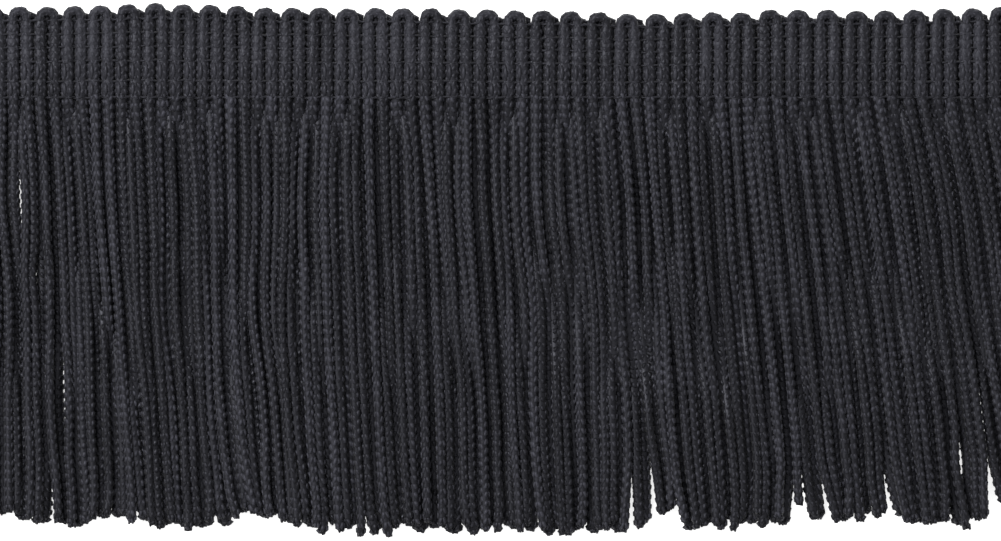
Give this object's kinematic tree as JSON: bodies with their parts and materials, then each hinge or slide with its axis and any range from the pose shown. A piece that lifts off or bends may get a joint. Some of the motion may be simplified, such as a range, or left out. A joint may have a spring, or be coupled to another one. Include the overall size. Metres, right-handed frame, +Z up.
{
  "type": "chainette fringe trim",
  "caption": "Flat fringe trim: looped chain cords bound into a ribbed heading with a scalloped edge, their cut legs hanging below as a fringe.",
  "frame": {"origin": "middle of the heading's underside, on the back cord's leg that lies below the middle front loop, in the plane that the trim lies on", "axes": "+X along the trim, +Y from the fringe towards the heading's scalloped edge, +Z up, out of the face that shows"},
  "size_m": [0.1708, 0.0786, 0.0027],
  "materials": {
    "heading_cord": "satin black rayon chain cord, bound",
    "fringe_cord": "satin black rayon chain cord"
  },
  "bodies": {
    "root": {"heading_front_loops": "heading_cord", "heading_back_loops": "heading_cord", "fringe_front": "fringe_cord", "fringe_back": "fringe_cord"}
  },
  "joints": []
}
